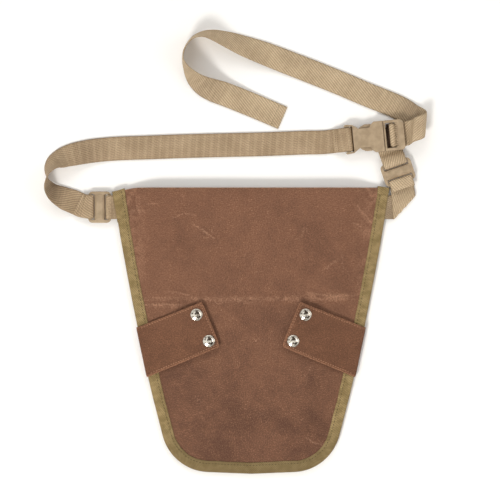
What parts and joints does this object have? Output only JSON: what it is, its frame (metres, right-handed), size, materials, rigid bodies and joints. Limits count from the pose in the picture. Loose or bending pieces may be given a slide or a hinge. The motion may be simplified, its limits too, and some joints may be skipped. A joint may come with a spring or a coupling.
{
  "type": "garden tool bag",
  "caption": "Flat canvas tool pouch with snapped side tabs and a webbing waist belt with a side-release buckle.",
  "frame": {"origin": "middle of the pouch's back, on its outer face, which lies on the floor", "axes": "+Y from the pouch's foot to its mouth, +Z out through its front, +X to the right seen from the front"},
  "size_m": [0.4034, 0.4674, 0.0252],
  "materials": {
    "canvas": "waxed cotton canvas, brown",
    "tab_canvas": "doubled waxed canvas, brown",
    "binding": "olive twill tape",
    "webbing": "tan woven webbing",
    "plastic": "tan moulded plastic",
    "nickel": "polished nickel"
  },
  "bodies": {
    "pouch": {"back_panel": "canvas", "front_panel": "canvas", "edge_binding": "binding", "left_tab_anchor": "tab_canvas", "right_tab_anchor": "tab_canvas", "left_snap_stud_1": "nickel", "left_snap_post_1": "nickel", "left_snap_stud_2": "nickel", "left_snap_post_2": "nickel", "right_snap_stud_1": "nickel", "right_snap_post_1": "nickel", "right_snap_stud_2": "nickel", "right_snap_post_2": "nickel", "left_anchor_strap": "webbing", "left_belt": "webbing", "belt_tail": "webbing", "right_strap": "webbing", "right_anchor_strap": "webbing", "buckle_plug": "plastic"},
    "left_tab": {"left_tab": "tab_canvas", "left_snap_cap_1": "nickel", "left_snap_socket_1": "nickel", "left_snap_cap_2": "nickel", "left_snap_socket_2": "nickel"},
    "right_tab": {"right_tab": "tab_canvas", "right_snap_cap_1": "nickel", "right_snap_socket_1": "nickel", "right_snap_cap_2": "nickel", "right_snap_socket_2": "nickel"},
    "left_slider": {"left_slider": "plastic"},
    "right_slider": {"right_slider": "plastic"},
    "buckle_socket": {"buckle_socket": "plastic"},
    "upper_arm": {"buckle_upper_arm": "plastic"},
    "lower_arm": {"buckle_lower_arm": "plastic"}
  },
  "joints": [
    {"name": "left_tab_fold", "type": "hinge", "parent": "pouch", "child": "left_tab", "pos_m": [-0.11473, -0.02252, 0.0059], "axis": [0.2069, -0.9784, 0], "range_deg": [0, 165]},
    {"name": "right_tab_fold", "type": "hinge", "parent": "pouch", "child": "right_tab", "pos_m": [0.11473, -0.02252, 0.0059], "axis": [0.2069, 0.9784, 0], "range_deg": [0, 165]},
    {"name": "buckle_release", "type": "slide", "parent": "pouch", "child": "buckle_socket", "axis": [-0.9954, -0.0958, 0], "range_m": [0, 0.03], "deforming": ["left_belt"]},
    {"name": "upper_arm_flex", "type": "hinge", "parent": "pouch", "child": "upper_arm", "pos_m": [0.13806, 0.21476, 0.007], "axis": [0, 0, 1], "range_deg": [0, 6], "stiffness_Nm_per_rad": 0.5},
    {"name": "lower_arm_flex", "type": "hinge", "parent": "pouch", "child": "lower_arm", "pos_m": [0.14014, 0.19326, 0.007], "axis": [0, 0, -1], "range_deg": [0, 6], "stiffness_Nm_per_rad": 0.5},
    {"name": "left_slider_rock", "type": "hinge", "parent": "pouch", "child": "left_slider", "pos_m": [-0.159, 0.1295, 0.00365], "axis": [0, 1, 0], "range_deg": [-2, 2]},
    {"name": "right_slider_rock", "type": "hinge", "parent": "pouch", "child": "right_slider", "pos_m": [0.1544, 0.1664, 0.00365], "axis": [-0.9455, -0.3256, 0], "range_deg": [-2, 2]}
  ]
}
